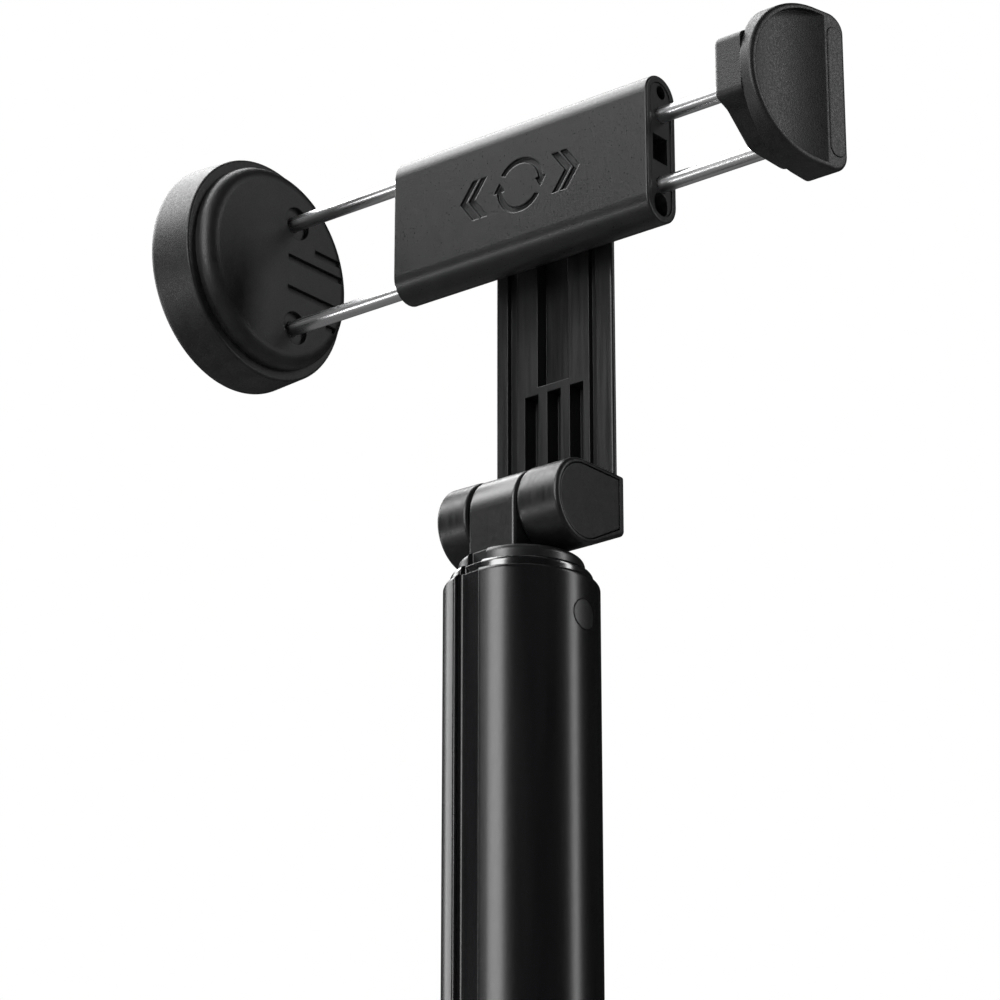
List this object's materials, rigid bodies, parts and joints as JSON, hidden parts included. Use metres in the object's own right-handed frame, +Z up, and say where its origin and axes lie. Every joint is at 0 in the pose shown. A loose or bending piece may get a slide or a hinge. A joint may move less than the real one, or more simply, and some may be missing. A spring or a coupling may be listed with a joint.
{
  "type": "selfie stick",
  "caption": "Telescopic black selfie stick: keyed pole in a rubber grip, a tilting ribbed arm and a swivelling phone clamp with round jaws on polished rods.",
  "frame": {"origin": "mouth of the tripod thread at the middle of the handle's foot", "axes": "+Z up the pole, +X along the jaws' rods toward the small jaw, -Y out of the clamp's front face"},
  "size_m": [0.1403, 0.0455, 0.3338],
  "materials": {
    "black_anodised": "satin black anodised",
    "gloss_black_plastic": "polished black",
    "arm_black": "satin black with fine lengthwise lines",
    "satin_black_plastic": "satin black",
    "slider_grey": "matt dark grey acetal",
    "jaw_black": "fine spark-textured black",
    "polished_steel": "polished stainless steel",
    "plated_steel": "zinc plated",
    "spring_steel": "drawn wire",
    "washer_plastic": "natural nylon",
    "grip_rubber": "matt black silicone",
    "button_rubber": "matt dark grey silicone",
    "insert_brass": "turned",
    "board_green": "solder mask",
    "switch_black": "moulded",
    "cell_steel": "satin steel can"
  },
  "bodies": {
    "handle": {"outer_tube": "black_anodised", "top_collar": "gloss_black_plastic", "collar_plug": "gloss_black_plastic", "grip": "grip_rubber", "base_cap": "satin_black_plastic", "tripod_insert": "insert_brass", "base_screws": "plated_steel", "button_frame": "satin_black_plastic", "board_carrier": "slider_grey", "circuit_board": "board_green", "tact_switch": "switch_black", "coin_cell": "cell_steel", "battery_clip": "spring_steel", "board_screws": "plated_steel", "button_spring": "spring_steel"},
    "button": {"shutter_button": "button_rubber"},
    "second_tube": {"tube_2": "black_anodised", "tube_2_slider": "slider_grey", "tube_2_collar": "gloss_black_plastic"},
    "third_tube": {"tube_3": "black_anodised", "tube_3_slider": "slider_grey", "tube_3_collar": "gloss_black_plastic"},
    "fourth_tube": {"tube_4": "black_anodised", "tube_4_slider": "slider_grey", "tube_4_collar": "gloss_black_plastic"},
    "last_tube": {"tube_5": "black_anodised", "tube_5_slider": "slider_grey", "neck": "gloss_black_plastic"},
    "arm": {"head_arm": "arm_black", "ear_cap_left": "satin_black_plastic", "ear_cap_right": "satin_black_plastic", "hinge_bolt": "plated_steel", "hinge_nut": "plated_steel", "hinge_washer_left": "washer_plastic", "hinge_washer_right": "washer_plastic", "swivel_washer": "washer_plastic"},
    "clamp": {"clamp_sleeve": "black_anodised", "end_insert_left": "satin_black_plastic", "end_insert_right": "satin_black_plastic", "swivel_stud": "plated_steel", "swivel_cup_washer": "plated_steel", "swivel_screw": "plated_steel", "left_spring_upper": "spring_steel", "left_spring_lower": "spring_steel", "right_spring": "spring_steel"},
    "left_jaw": {"left_rod_upper": "polished_steel", "left_rod_lower": "polished_steel", "left_slider": "satin_black_plastic", "left_jaw_disc": "jaw_black", "left_jaw_puck": "jaw_black", "left_jaw_cover": "satin_black_plastic", "left_jaw_screws": "plated_steel"},
    "right_jaw": {"right_rod_upper": "polished_steel", "right_rod_lower": "polished_steel", "right_slider": "satin_black_plastic", "right_jaw_block": "jaw_black", "right_jaw_shell": "jaw_black", "right_jaw_screws": "plated_steel", "right_jaw_strip": "jaw_black"}
  },
  "joints": [
    {"name": "button_press", "type": "slide", "parent": "handle", "child": "button", "axis": [0, 1, 0], "range_m": [0, 0.0005], "stiffness_N_per_m": 800, "springref_m": -0.0005, "deforming": ["button_spring"]},
    {"name": "second_tube_slide", "type": "slide", "parent": "handle", "child": "second_tube", "axis": [0, 0, 1], "range_m": [0, 0.14]},
    {"name": "third_tube_slide", "type": "slide", "parent": "second_tube", "child": "third_tube", "axis": [0, 0, 1], "range_m": [0, 0.14]},
    {"name": "fourth_tube_slide", "type": "slide", "parent": "third_tube", "child": "fourth_tube", "axis": [0, 0, 1], "range_m": [0, 0.14]},
    {"name": "last_tube_slide", "type": "slide", "parent": "fourth_tube", "child": "last_tube", "axis": [0, 0, 1], "range_m": [0, 0.14]},
    {"name": "head_tilt", "type": "hinge", "parent": "last_tube", "child": "arm", "pos_m": [0, 0.0006, 0.2455], "axis": [1, 0, 0], "range_deg": [-12, 90]},
    {"name": "clamp_swivel", "type": "hinge", "parent": "arm", "child": "clamp", "pos_m": [0, 0.0096, 0.3104], "axis": [0, 1, 0], "range_deg": [-45, 60]},
    {"name": "left_jaw_slide", "type": "slide", "parent": "clamp", "child": "left_jaw", "axis": [1, 0, 0], "range_m": [-0.002, 0.0265], "deforming": ["left_spring_upper", "left_spring_lower"]},
    {"name": "right_jaw_slide", "type": "slide", "parent": "clamp", "child": "right_jaw", "axis": [-1, 0, 0], "range_m": [-0.004, 0.023], "deforming": ["right_spring"]}
  ]
}
